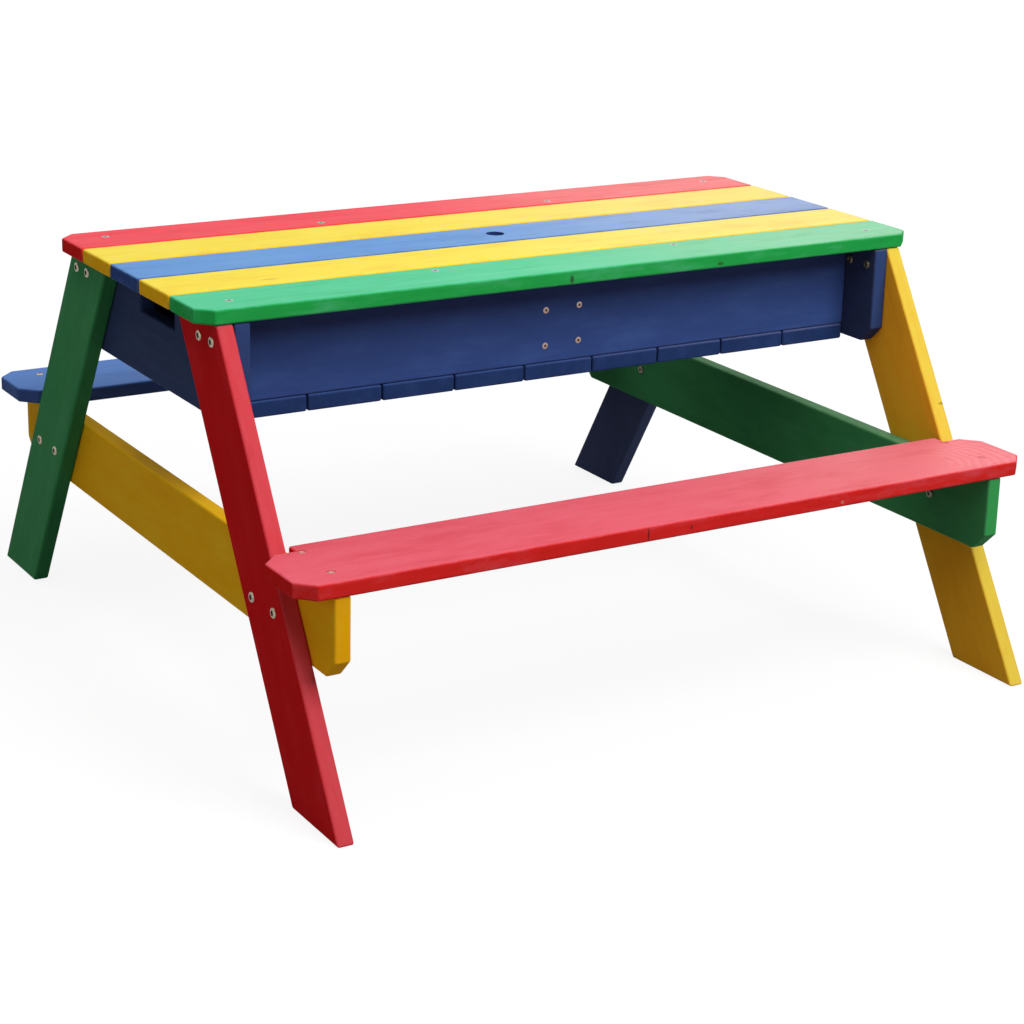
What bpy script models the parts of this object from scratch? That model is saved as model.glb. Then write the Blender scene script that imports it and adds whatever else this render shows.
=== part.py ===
"""Children's picnic table with a sandbox under its lift-off lid.

The table is long in X, the benches lie in front (-Y) and behind (+Y), and the feet stand at Z = 0.
"""
import math

import bmesh
import bpy
from mathutils import Matrix, Vector

# The table as a whole, in metres
table_length = 1.0066
table_height = 0.521
seat_height = 0.2818
foot_reach = 0.5156
leg_overhang = 0.0203

# Boards that lie flat
top_thickness = 0.018
plank_width = 0.085
plank_gap = 0.0033
top_corner_cut = 0.019
seat_overhang = 0.0204
seat_width = 0.126
seat_thickness = 0.0188
seat_inner_reach = 0.3424
seat_corner_cut = 0.021
notch_wall = 0.0057
notch_clearance = 0.001

# Boards that stand
leg_thickness = 0.0205
leg_width = 0.096
leg_top_reach = 0.217
beam_thickness = 0.0198
beam_depth = 0.0965
beam_end_setback = 0.0025
beam_corner_cut = 0.022
end_board_thickness = 0.02
end_board_width = 0.4388
end_board_depth = 0.125
end_board_corner_cut = 0.02
hand_notch_width = 0.102
hand_notch_depth = 0.045

# The box for the sand
box_width = 0.3226
side_panel_thickness = 0.02
side_panel_depth = 0.11
divider_thickness = 0.02
divider_spacing = 0.048
slat_thickness = 0.0203
slat_count = 9
slat_gap = 0.0015

# The lid
finger_hole_radius = 0.012
batten_width = 0.04
batten_thickness = 0.015
batten_side_clearance = 0.0163
batten_end_clearance = 0.0224
batten_divider_clearance = 0.066

# Wood edges and the clearance between boards that touch
edge_round = 0.0027
corner_round = 0.0014
round_cuts = 3
seam = 0.0003
cut_overrun = 0.002

# Countersunk screws that hold the benches on the beams
screw_head_radius = 0.005
screw_head_rim = 0.0006
screw_head_height = 0.003
screw_shank_radius = 0.002
screw_tip = 0.004
screw_length = 0.035
seat_screw_margin = 0.0308
seat_screw_spacing = 0.071

# Bolts that hold the legs, each with its cap nut on the inner side
bolt_head_radius = 0.0062
bolt_head_height = 0.0018
bolt_shank_radius = 0.003
nut_radius = 0.0055
nut_height = 0.003
top_bolt_drop = 0.0215
top_bolt_margins = (0.0598, 0.0258)
beam_bolt_drop = 0.0487
beam_bolt_margins = (0.084, 0.029)
dome_share = 0.7
dome_rise_share = 0.5
round_steps = 12

# Heights that follow from the sizes above
under_top = table_height - top_thickness
frame_top = under_top - seam
panel_bottom = frame_top - side_panel_depth
slat_top = panel_bottom - seam
slat_bottom = slat_top - slat_thickness
end_board_bottom = frame_top - end_board_depth
seat_bottom = seat_height - seat_thickness
beam_top = seat_bottom - seam
beam_bottom = beam_top - beam_depth
batten_top = under_top - seam
batten_bottom = batten_top - batten_thickness

# Distances from the middle along X
leg_outer = table_length / 2 - leg_overhang
leg_inner = leg_outer - leg_thickness
board_outer = leg_inner - seam
end_inner = board_outer - end_board_thickness
beam_inner = board_outer - beam_thickness
beam_middle = board_outer - beam_thickness / 2
seat_end = leg_outer + seat_overhang
outer_batten = end_inner - batten_end_clearance - batten_width / 2
divider_outer = divider_spacing / 2 + divider_thickness / 2
inner_batten = divider_outer + batten_divider_clearance + batten_width / 2

# Distances from the middle along Y
plank_pitch = plank_width + plank_gap
panel_outer = box_width / 2
panel_inner = panel_outer - side_panel_thickness
seat_outer = seat_inner_reach + seat_width
beam_end = seat_outer - beam_end_setback
batten_reach = panel_inner - batten_side_clearance

# The slope of the legs
leg_run = foot_reach - leg_top_reach
leg_slope = leg_run / frame_top
leg_across = leg_width / math.cos(math.atan(leg_slope))

red = (0.62, 0.012, 0.022)
yellow = (0.86, 0.52, 0.02)
blue = (0.03, 0.075, 0.24)
green = (0.016, 0.27, 0.085)
brass = (0.62, 0.5, 0.3)
steel = (0.6, 0.6, 0.58)


def clear_scene():
    for thing in list(bpy.data.objects):
        bpy.data.objects.remove(thing, do_unlink=True)


def finish_material(name, colour, roughness, metallic):
    material = bpy.data.materials.new(name)
    material.use_nodes = True
    shader = material.node_tree.nodes["Principled BSDF"]
    shader.inputs["Base Color"].default_value = (*colour, 1)
    shader.inputs["Roughness"].default_value = roughness
    shader.inputs["Metallic"].default_value = metallic
    return material


def add_object(name, mesh, colour, roughness=0.5, metallic=0.0):
    thing = bpy.data.objects.new(name, mesh)
    bpy.context.collection.objects.link(thing)
    mesh.materials.append(finish_material(name + "_finish", colour, roughness, metallic))
    return thing


def on_axis(axis, along, first, second):
    """A point whose place along the named axis is given, and the two others in X, Y, Z order."""
    order = {"x": (along, first, second), "y": (first, along, second), "z": (first, second, along)}
    return Vector(order[axis])


def board(name, outline, axis, low, high, colour):
    """A board cut to an outline, as thick as the way from low to high, with rounded edges.

    The turns of a cut corner, which are half a right angle each, are only just rounded.
    """
    shape = bmesh.new()
    corners = [shape.verts.new(on_axis(axis, low, *point)) for point in outline]
    face = shape.faces.new(corners)
    raised = bmesh.ops.extrude_face_region(shape, geom=[face])["geom"]
    moved = [item for item in raised if isinstance(item, bmesh.types.BMVert)]
    bmesh.ops.translate(shape, verts=moved, vec=on_axis(axis, high - low, 0, 0))
    bmesh.ops.recalc_face_normals(shape, faces=shape.faces)
    turns = [edge for edge in shape.edges if edge.calc_face_angle() < math.radians(50)]
    bmesh.ops.bevel(shape, geom=turns, offset=corner_round, offset_type="OFFSET", segments=round_cuts,
                    profile=0.5, affect="EDGES", material=-1)
    mesh = bpy.data.meshes.new(name)
    shape.to_mesh(mesh)
    shape.free()
    thing = add_object(name, mesh, colour)
    bevel = thing.modifiers.new("rounded_edges", "BEVEL")
    bevel.width = edge_round
    bevel.segments = round_cuts
    bevel.limit_method = "ANGLE"
    bevel.angle_limit = math.radians(30)
    return thing


def rectangle(low_first, high_first, low_second, high_second):
    return [(low_first, low_second), (high_first, low_second),
            (high_first, high_second), (low_first, high_second)]


def turned_mesh(name, profile):
    """A closed round solid about Z from (radius, height) pairs that start and end on the axis."""
    shape = bmesh.new()
    line = [shape.verts.new((radius, 0, height)) for radius, height in profile]
    edges = [shape.edges.new(pair) for pair in zip(line, line[1:])]
    bmesh.ops.spin(shape, geom=line + edges, cent=(0, 0, 0), axis=(0, 0, 1),
                   angle=math.tau, steps=round_steps, use_merge=True)
    bmesh.ops.remove_doubles(shape, verts=shape.verts, dist=seam / 10)
    bmesh.ops.recalc_face_normals(shape, faces=shape.faces)
    mesh = bpy.data.meshes.new(name)
    shape.to_mesh(mesh)
    shape.free()
    mesh.shade_smooth()
    mesh.set_sharp_from_angle(angle=math.radians(40))
    return mesh


def stand(thing, point, direction):
    """Puts a turned piece at a point, with its own Z along the direction given."""
    thing.location = point
    thing.rotation_euler = Vector((0, 0, 1)).rotation_difference(Vector(direction)).to_euler()


def drill(boards, name, profile, places):
    """Cuts a turned hole at each (point, direction) out of every board given."""
    unit = turned_mesh(name + "_unit", profile)
    group = bmesh.new()
    for point, direction in places:
        first = len(group.verts)
        group.from_mesh(unit)
        turn = Vector((0, 0, 1)).rotation_difference(Vector(direction)).to_matrix().to_4x4()
        group.verts.ensure_lookup_table()
        placing = Matrix.Translation(Vector(point)) @ turn
        bmesh.ops.transform(group, matrix=placing, verts=group.verts[first:])
    mesh = bpy.data.meshes.new(name)
    group.to_mesh(mesh)
    group.free()
    cutter = bpy.data.objects.new(name, mesh)
    bpy.context.collection.objects.link(cutter)
    cutter.hide_render = True
    cutter.display_type = "WIRE"
    for thing in boards:
        cut = thing.modifiers.new(name, "BOOLEAN")
        cut.operation = "DIFFERENCE"
        cut.solver = "EXACT"
        cut.object = cutter


def seat_screws(stem, places, boards):
    """Countersunk screws, flush with the seat, and their holes in the boards they join."""
    profile = [(0, seam), (screw_head_radius, seam), (screw_head_radius, screw_head_rim + seam),
               (screw_shank_radius, screw_head_height), (screw_shank_radius, screw_length - screw_tip),
               (0, screw_length)]
    mouth = screw_head_radius + seam
    bore = screw_shank_radius + seam
    hole = [(0, -cut_overrun), (mouth, -cut_overrun), (mouth, screw_head_rim + 2 * seam),
            (bore, screw_head_height + 2 * seam), (bore, screw_length + seam), (0, screw_length + seam)]
    drill(boards, stem + "_holes", hole, places)
    for number, place in enumerate(places, 1):
        mesh = turned_mesh(f"{stem}_{number}", profile)
        stand(add_object(f"{stem}_{number}", mesh, brass, 0.35, 1.0), *place)


def leg_bolts(stem, places, boards, grip):
    """Button-headed bolts right through a leg and the board behind it, with their cap nuts."""
    profile = [(0, -bolt_head_height), (bolt_head_radius * dome_share, -bolt_head_height),
               (bolt_head_radius, -bolt_head_height * dome_rise_share), (bolt_head_radius, -seam),
               (bolt_shank_radius, -seam), (bolt_shank_radius, grip + seam), (nut_radius, grip + seam),
               (nut_radius, grip + nut_height * dome_rise_share),
               (nut_radius * dome_share, grip + nut_height), (0, grip + nut_height)]
    bore = bolt_shank_radius + seam
    hole = [(0, -cut_overrun), (bore, -cut_overrun), (bore, grip + cut_overrun), (0, grip + cut_overrun)]
    drill(boards, stem + "_holes", hole, places)
    for number, place in enumerate(places, 1):
        mesh = turned_mesh(f"{stem}_{number}", profile)
        stand(add_object(f"{stem}_{number}", mesh, steel, 0.3, 1.0), *place)


def leg_edge(height):
    """How far out a leg's outer edge is at a height above the floor."""
    return foot_reach - leg_slope * height


def fixed_plank(name, side, colour):
    half = table_length / 2
    inner = side * (plank_pitch + plank_gap + plank_width / 2)
    outer = side * (2 * plank_pitch + plank_width / 2)
    cut = outer - side * top_corner_cut
    outline = [(-half, inner), (half, inner), (half, cut), (half - top_corner_cut, outer),
               (top_corner_cut - half, outer), (-half, cut)]
    return board(name, outline, "z", under_top, table_height, colour)


def lid_plank(name, row, colour):
    half = table_length / 2
    middle = row * plank_pitch
    outline = rectangle(-half, half, middle - plank_width / 2, middle + plank_width / 2)
    return board(name, outline, "z", under_top, table_height, colour)


def bench(name, side, colour):
    """A seat plank whose inner edge steps back where the legs pass."""
    half = seat_end
    cut = seat_corner_cut
    wall = leg_inner - notch_wall
    notch = leg_edge(seat_bottom) + notch_clearance
    right = [(wall, seat_inner_reach), (wall, notch), (half - cut, notch), (half, notch + cut),
             (half, seat_outer - cut), (half - cut, seat_outer)]
    left = [(-along, across) for along, across in reversed(right)]
    outline = [(along, side * across) for along, across in right + left]
    return board(name, outline, "z", seat_bottom, seat_height, colour)


def leg(name, end, side, colour):
    outline = [(side * leg_top_reach, frame_top), (side * (leg_top_reach - leg_across), frame_top),
               (side * (foot_reach - leg_across), 0), (side * foot_reach, 0)]
    return board(name, outline, "x", end * leg_inner, end * leg_outer, colour)


def beam(name, end, colour):
    cut = beam_corner_cut
    outline = [(-beam_end, beam_top), (-beam_end, beam_bottom + cut), (cut - beam_end, beam_bottom),
               (beam_end - cut, beam_bottom), (beam_end, beam_bottom + cut), (beam_end, beam_top)]
    return board(name, outline, "x", end * beam_inner, end * board_outer, colour)


def end_board(name, end):
    """An end of the box, wider than the box, with a hand notch in its top edge."""
    half = end_board_width / 2
    cut = end_board_corner_cut
    hand = hand_notch_width / 2
    sill = frame_top - hand_notch_depth
    right = [(hand, sill), (hand, frame_top), (half, frame_top), (half, end_board_bottom + cut),
             (half - cut, end_board_bottom)]
    left = [(-across, up) for across, up in reversed(right)]
    return board(name, right + left, "x", end * end_inner, end * board_outer, blue)


def side_panel(name, side):
    reach = end_inner - seam
    outline = rectangle(-reach, reach, panel_bottom, frame_top)
    return board(name, outline, "y", side * panel_inner, side * panel_outer, blue)


def divider(name, end):
    middle = end * divider_spacing / 2
    reach = panel_inner - seam
    outline = rectangle(-reach, reach, panel_bottom, frame_top)
    low = middle - divider_thickness / 2
    return board(name, outline, "x", low, low + divider_thickness, blue)


def slat_middles():
    pitch = 2 * end_inner / slat_count
    return [(number + 0.5) * pitch - end_inner for number in range(slat_count)]


def floor_slat(number, middle):
    half = end_inner / slat_count - slat_gap / 2
    outline = rectangle(middle - half, middle + half, -panel_outer, panel_outer)
    return board(f"floor_slat_{number}", outline, "z", slat_bottom, slat_top, blue)


def batten(number, place):
    half = batten_width / 2
    outline = rectangle(place - half, place + half, -batten_reach, batten_reach)
    return board(f"lid_batten_{number}", outline, "z", batten_bottom, batten_top, yellow)


def cut_finger_hole(plank):
    hole = [(0, -cut_overrun), (finger_hole_radius, -cut_overrun),
            (finger_hole_radius, top_thickness + cut_overrun), (0, top_thickness + cut_overrun)]
    drill([plank], "finger_hole", hole, [((0, 0, under_top), (0, 0, 1))])


def seat_screw_places(end, side):
    outer = seat_outer - seat_screw_margin
    return [((end * beam_middle, side * across, seat_height), (0, 0, -1))
            for across in (outer, outer - seat_screw_spacing)]


def bolt_places(end, side, margins, height):
    """Places on a leg's outer face, at distances from its outer edge."""
    edge = leg_edge(height)
    return [((end * leg_outer, side * (edge - margin), height), (-end, 0, 0)) for margin in margins]


def fasten_corner(end, side, leg_board, end_piece, beam_piece, seat):
    """The four bolts of one leg and the two screws of the bench end beside it."""
    where = ("rear" if side > 0 else "front") + ("_right" if end > 0 else "_left")
    top = bolt_places(end, side, top_bolt_margins, frame_top - top_bolt_drop)
    low = bolt_places(end, side, beam_bolt_margins, beam_top - beam_bolt_drop)
    leg_bolts(f"leg_bolt_{where}_top", top, [leg_board, end_piece],
              leg_thickness + seam + end_board_thickness)
    leg_bolts(f"leg_bolt_{where}_beam", low, [leg_board, beam_piece],
              leg_thickness + seam + beam_thickness)
    seat_screws(f"bench_screw_{where}", seat_screw_places(end, side), [seat, beam_piece])


def build_lid():
    """The three loose planks and their battens, carried by one empty."""
    rear = lid_plank("lid_plank_rear_yellow", 1, yellow)
    centre = lid_plank("lid_plank_centre_blue", 0, blue)
    front = lid_plank("lid_plank_front_yellow", -1, yellow)
    places = (-outer_batten, -inner_batten, inner_batten, outer_batten)
    battens = [batten(number, place) for number, place in enumerate(places, 1)]
    cut_finger_hole(centre)
    slide = bpy.data.objects.new("lid_slide", None)
    slide.location = (0, 0, under_top)
    bpy.context.collection.objects.link(slide)
    bpy.context.view_layer.update()
    for thing in [rear, centre, front, *battens]:
        thing.parent = slide
        thing.matrix_parent_inverse = slide.matrix_world.inverted()


def build_table():
    fixed_plank("top_plank_rear_red", 1, red)
    fixed_plank("top_plank_front_green", -1, green)
    side_panel("side_panel_front", -1)
    side_panel("side_panel_rear", 1)
    divider("divider_left", -1)
    divider("divider_right", 1)
    for number, middle in enumerate(slat_middles(), 1):
        floor_slat(number, middle)
    ends = {-1: end_board("end_board_left", -1), 1: end_board("end_board_right", 1)}
    beams = {-1: beam("beam_left_yellow", -1, yellow), 1: beam("beam_right_green", 1, green)}
    benches = {-1: bench("bench_front_red", -1, red), 1: bench("bench_rear_blue", 1, blue)}
    legs = [(-1, -1, "leg_front_left_red", red), (-1, 1, "leg_rear_left_green", green),
            (1, -1, "leg_front_right_yellow", yellow), (1, 1, "leg_rear_right_blue", blue)]
    for end, side, name, colour in legs:
        fasten_corner(end, side, leg(name, end, side, colour), ends[end], beams[end], benches[side])


clear_scene()
build_table()
build_lid()
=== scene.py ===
# %% [markdown]
# # A painted picnic table with a sand box under its lid
# The table's boards, bolts and screws come ready made as solids, in metres, from the
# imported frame. They could be modelled again here, but then the two might drift apart,
# so this lesson only gives them their looks: stained boards with a grain of their own,
# finer metal screws and bolts, a soft studio and a camera. The box round the solids is
# measured first, because the looks must not grow it.

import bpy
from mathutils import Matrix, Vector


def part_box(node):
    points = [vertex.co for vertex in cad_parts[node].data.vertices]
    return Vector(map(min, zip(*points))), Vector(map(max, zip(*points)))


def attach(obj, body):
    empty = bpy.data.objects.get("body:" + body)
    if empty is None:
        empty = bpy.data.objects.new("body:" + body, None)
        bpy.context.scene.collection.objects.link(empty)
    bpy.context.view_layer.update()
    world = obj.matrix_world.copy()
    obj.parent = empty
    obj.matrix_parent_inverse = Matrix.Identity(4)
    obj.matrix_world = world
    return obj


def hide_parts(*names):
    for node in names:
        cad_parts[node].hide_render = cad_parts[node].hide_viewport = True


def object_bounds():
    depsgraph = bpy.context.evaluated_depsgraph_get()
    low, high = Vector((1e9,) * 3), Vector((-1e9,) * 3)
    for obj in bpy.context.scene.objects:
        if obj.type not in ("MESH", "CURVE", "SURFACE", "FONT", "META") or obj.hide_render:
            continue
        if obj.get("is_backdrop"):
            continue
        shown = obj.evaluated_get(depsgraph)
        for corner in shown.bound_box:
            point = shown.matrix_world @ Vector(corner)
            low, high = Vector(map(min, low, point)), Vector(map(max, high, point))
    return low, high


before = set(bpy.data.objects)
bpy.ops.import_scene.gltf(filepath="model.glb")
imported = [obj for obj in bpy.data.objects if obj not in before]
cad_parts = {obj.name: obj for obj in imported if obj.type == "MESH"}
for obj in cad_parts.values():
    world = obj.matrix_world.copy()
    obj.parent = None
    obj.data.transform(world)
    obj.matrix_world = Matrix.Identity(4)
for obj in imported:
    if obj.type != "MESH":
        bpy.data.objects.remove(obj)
cad_low, cad_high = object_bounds()
print("the frame is", [round(side, 4) for side in cad_high - cad_low], "m")

# %% [markdown]
# ## Tools
# Meshes are made with bmesh, which needs no selections as the editor's tools do. The
# boards' random numbers come from a seeded generator, so every run gives the same
# table.

# %% Load the other tools
import math
import random

import bmesh
import bpy
from mathutils import Matrix, Vector

print("Blender", bpy.app.version_string)

# %% [markdown]
# ## Camera
# A camera some way off with a long lens keeps the table's edges nearly parallel. It
# could be turned by hand until it looks right, or follow a target. Here its place and
# its three turns were fitted to the table's edges, which is why the numbers are long.
# It stands in front of the table on the left, a little over a metre up, and looks
# down. A small shift of the lens moves the table in the frame and keeps its shape,
# which a further turn of the camera would change.

# %% Place the camera
camera_place = Vector((-1.52891, -2.57443, 1.16006))
camera_turn = math.radians(-31.60132)
camera_rise = math.radians(-17.07529)
camera_roll = math.radians(1.53037)
forward = Vector((
    -math.sin(camera_turn) * math.cos(camera_rise),
    math.cos(camera_turn) * math.cos(camera_rise),
    math.sin(camera_rise),
))
level = Vector((math.cos(camera_turn), math.sin(camera_turn), 0))
right = level * math.cos(camera_roll) + level.cross(forward) * math.sin(camera_roll)
upward = right.cross(forward)
camera_axes = Matrix((right, upward, -forward)).transposed().to_4x4()
camera = bpy.data.objects.new("camera", bpy.data.cameras.new("camera"))
bpy.context.scene.collection.objects.link(camera)
camera.matrix_world = Matrix.Translation(camera_place) @ camera_axes
camera.data.sensor_width = 36
camera.data.lens = 84.31
camera.data.shift_x = -0.01392
camera.data.shift_y = -0.06509
bpy.context.scene.camera = camera
table_middle = (cad_low + cad_high) / 2
print("the camera is", round((camera_place - table_middle).length, 2), "m from the table")

# %% [markdown]
# ## Small helpers for nodes
# Every finish here is a graph of nodes. A graph can be drawn in the editor, but in a
# script it can be made again for each board with other numbers. One helper empties a
# tree and one adds a node. A value that is another node's output is joined to the
# input. The others stand for the nodes that come up most.

# %% Add and join nodes
def new_tree(owner):
    owner.use_nodes = True
    owner.node_tree.nodes.clear()
    return owner.node_tree


def add_node(tree, kind, values=None, **settings):
    node = tree.nodes.new(kind)
    for name, value in settings.items():
        setattr(node, name, value)
    for name, value in (values or {}).items():
        if isinstance(value, bpy.types.NodeSocket):
            tree.links.new(value, node.inputs[name])
        else:
            node.inputs[name].default_value = value
    return node


def maths(tree, operation, *terms, clamp=False):
    """The result of one sum on numbers."""
    values = dict(enumerate(terms))
    node = add_node(tree, "ShaderNodeMath", values, operation=operation, use_clamp=clamp)
    return node.outputs[0]


def vector(tree, operation, *terms, result="Vector"):
    """The result of one sum on vectors. Some sums give a single number, the Value."""
    values = dict(enumerate(terms))
    return add_node(tree, "ShaderNodeVectorMath", values, operation=operation).outputs[result]


def ranged(tree, value, low=0, high=1, to_low=0, to_high=1, kind="LINEAR"):
    """The stretch of a value from low to high, spread between two other numbers."""
    values = {
        "Value": value,
        "From Min": low,
        "From Max": high,
        "To Min": to_low,
        "To Max": to_high,
    }
    return add_node(tree, "ShaderNodeMapRange", values, interpolation_type=kind).outputs[0]


def noise(tree, place, detail, roughness=0.5, scale=1):
    values = {"Vector": place, "Scale": scale, "Detail": detail, "Roughness": roughness}
    return add_node(tree, "ShaderNodeTexNoise", values)


print("helpers for nodes are ready")

# %% [markdown]
# ## The white room
# The background is to look white to the camera and in mirror reflections, and yet to
# light the table only weakly, or the shadows would go. More light would bleach the
# table. So the room asks what kind of ray it meets: a ray from the camera, a mirror or
# something clear gets white, and the light that falls on the boards is dim.

# %% Build the room
def seen_directly(tree):
    """1 for a ray from the camera, a mirror or something clear, and 0 for the others."""
    path = add_node(tree, "ShaderNodeLightPath").outputs
    either = maths(tree, "MAXIMUM", path["Is Camera Ray"], path["Is Glossy Ray"])
    return maths(tree, "MAXIMUM", either, path["Is Transmission Ray"])


def mixed_shader(tree, share, first, second):
    values = {0: share, 1: first.outputs[0], 2: second.outputs[0]}
    return add_node(tree, "ShaderNodeMixShader", values)


bpy.context.scene.view_settings.view_transform = "Standard"
world = bpy.data.worlds.new("white_room")
bpy.context.scene.world = world
tree = new_tree(world)
dim_light = {"Color": (0.93, 0.96, 1, 1), "Strength": 0.08}
white_light = {"Color": (1, 1, 1, 1), "Strength": 1}
room = mixed_shader(
    tree,
    seen_directly(tree),
    add_node(tree, "ShaderNodeBackground", dim_light),
    add_node(tree, "ShaderNodeBackground", white_light),
)
add_node(tree, "ShaderNodeOutputWorld", {0: room.outputs[0]})
print("the room's nodes:", len(tree.nodes))

# %% [markdown]
# ## Lamps
# A big soft lamp stands up in front and to the right, a wide panel hangs overhead, and
# a weak fill comes from the left. So the tops are bright, the fronts are a good half as
# bright, the left sides are deep, and it is dark under the table. A small lamp would do
# with less power, but its shadows would be hard. A weak panel far behind on the right
# only adds a little sheen at a flat angle.

# %% Hang the lamps
def soft_lamp(name, place, target, size, power):
    lamp = bpy.data.lights.new(name, "AREA")
    lamp.shape = "SQUARE"
    lamp.size = size
    lamp.energy = power
    lamp_object = bpy.data.objects.new(name, lamp)
    aim = (Vector(target) - Vector(place)).to_track_quat("-Z", "Y").to_matrix().to_4x4()
    lamp_object.matrix_world = Matrix.Translation(place) @ aim
    bpy.context.scene.collection.objects.link(lamp_object)
    return lamp


lamps = [
    soft_lamp("front_lamp", (0.7, -2.42, 2.72), (0, 0, 0.3), 2.1, 84),
    soft_lamp("overhead_panel", (0, 0, 3.0), (0, 0, 0.3), 4.2, 67),
    soft_lamp("left_fill", (-3.6, -0.6, 0.9), (0, 0, 0.35), 2.4, 15),
    soft_lamp("far_right_panel", (2.72, 2.7, 1.4), (0.2, 0, 0.5), 2.1, 11),
]
print("lamps:", [(lamp.name, lamp.energy) for lamp in lamps])

# %% [markdown]
# ## Floor
# The floor is a large disc just under the feet. A curved backdrop would hide the edge
# too, but a disc this wide has its edge out of sight.

# %% Lay the floor
floor_radius = 12
floor_height = cad_low.z - 0.0005
sheet = bmesh.new()
bmesh.ops.create_circle(sheet, cap_ends=True, segments=96, radius=floor_radius)
bmesh.ops.translate(sheet, verts=sheet.verts, vec=(0, 0, floor_height))
floor = bpy.data.objects.new("floor", bpy.data.meshes.new("floor"))
sheet.to_mesh(floor.data)
sheet.free()
bpy.context.scene.collection.objects.link(floor)
floor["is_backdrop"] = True
print("the floor lies at", round(floor_height, 4), "m")

# %% [markdown]
# ## Floor paint
# Near the table the camera sees a pale matt floor that takes the soft shadow. Farther
# out it turns into plain white, so that it runs into the white room with no edge. To
# light that bounces, the floor is a good deal darker. A floor as pale as it looks would
# fill the table's deep sides from below.

# %% Paint the floor
shadow_reach = 0.8
white_reach = 2.2
white_near_table = 0.84
floor_paint = bpy.data.materials.new("pale_floor")
tree = new_tree(floor_paint)
coords = add_node(tree, "ShaderNodeTexCoord")
away = vector(tree, "LENGTH", coords.outputs["Object"], result="Value")
far_off = ranged(tree, away, shadow_reach, white_reach, white_near_table, kind="SMOOTHSTEP")
pale = add_node(tree, "ShaderNodeBsdfDiffuse", {"Color": (0.97, 0.97, 0.97, 1)})
white = add_node(tree, "ShaderNodeEmission", {"Color": (1, 1, 1, 1), "Strength": 1.05})
dim = add_node(tree, "ShaderNodeBsdfDiffuse", {"Color": (0.26, 0.26, 0.26, 1)})
shown = mixed_shader(tree, far_off, pale, white)
paint = mixed_shader(tree, seen_directly(tree), dim, shown)
add_node(tree, "ShaderNodeOutputMaterial", {0: paint.outputs[0]})
floor.data.materials.append(floor_paint)
print("the floor's nodes:", len(tree.nodes))

# %% [markdown]
# ## The figure of a board
# Sawn pine shows its growth rings, fine fibres along the board, and patches where it
# took more or less stain. A picture of wood would have to be laid on six faces and its
# lines would stop at every edge. Instead, one node group works the figure out in all of
# space, and every board looks up its own part of it.

# %% Start the figure
VECTOR = "NodeSocketVector"
NUMBER = "NodeSocketFloat"


def new_group(name, inputs, outputs):
    group = bpy.data.node_groups.new(name, "ShaderNodeTree")
    for socket, kind in inputs.items():
        group.interface.new_socket(socket, in_out="INPUT", socket_type=kind)
    for socket in outputs:
        group.interface.new_socket(socket, in_out="OUTPUT", socket_type=NUMBER)
    return group, add_node(group, "NodeGroupInput"), add_node(group, "NodeGroupOutput")


figure, start, end = new_group(
    "board_figure",
    {"Board": VECTOR, "Heart": VECTOR, "Ring width": NUMBER},
    ("Rings", "Fibres", "Blotches"),
)
print("the figure takes", [socket.name for socket in start.outputs if socket.name])

# %% [markdown]
# ## Growth rings
# Rings are tubes round the heart of the tree, which runs along X. Where a board's
# faces cut through them they give long lines and pointed arches on the wide face,
# straight lines on the edges and arcs on the ends, with no pattern drawn by hand. A
# slow noise makes the tubes sway. A colour ramp gives each year its slow pale spring
# wood and its quick dark late wood.

# %% Draw the rings
def wobbled(tree, place, wobble, reach):
    """The place, moved either way by up to half the reach."""
    centred = vector(tree, "SUBTRACT", wobble.outputs["Color"], (0.5, 0.5, 0.5))
    return vector(tree, "MULTIPLY_ADD", centred, reach, place)


sway_scale = (2.2, 9, 9)
sway_reach = (0, 0.022, 0.022)
year_tones = ((0, 0.25), (0.12, 0), (0.5, 0.12), (0.82, 1), (0.93, 0.9), (1, 0.25))
heart = start.outputs["Heart"]
sway = noise(figure, vector(figure, "MULTIPLY", heart, sway_scale), detail=2)
swayed = wobbled(figure, heart, sway, sway_reach)
across = vector(figure, "MULTIPLY", swayed, (0, 1, 1))
radius = vector(figure, "LENGTH", across, result="Value")
years = maths(figure, "DIVIDE", radius, start.outputs["Ring width"])
season = maths(figure, "FRACT", years)
wood = add_node(figure, "ShaderNodeValToRGB", {0: season})
for place, tone in year_tones:
    stop = wood.color_ramp.elements.new(place)
    stop.color = (tone, tone, tone, 1)
wood.color_ramp.elements.remove(wood.color_ramp.elements[0])
wood.color_ramp.elements.remove(wood.color_ramp.elements[-1])
figure.links.new(wood.outputs[0], end.inputs["Rings"])
print("tones in a year:", len(wood.color_ramp.elements))

# %% [markdown]
# ## Fibres and blotches
# Both are noise that is stretched along the board: the fibres to hair lines, the
# blotches to long soft clouds. The stretch comes from a finer scale across the board
# than along it.

# %% Draw fibres and blotches
fibre_scale = (7, 260, 260)
blotch_scale = (10, 30, 30)
board = start.outputs["Board"]
fibres = noise(figure, vector(figure, "MULTIPLY", board, fibre_scale), detail=4, roughness=0.62)
blotches = noise(figure, vector(figure, "MULTIPLY", board, blotch_scale), detail=5, roughness=0.68)
figure.links.new(fibres.outputs[0], end.inputs["Fibres"])
figure.links.new(blotches.outputs[0], end.inputs["Blotches"])
print("the figure's nodes:", len(figure.nodes))

# %% [markdown]
# ## Wear along the edges
# Hands and cloths rub the stain thin along a board's edges. The renderer could look
# for edges by itself, but that is slow and can't be baked. An edge is where a point is
# near two faces at once, so this group measures how near it is to each pair of faces
# and multiplies the two. A noise leaves some stretches of edge unworn.

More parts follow.
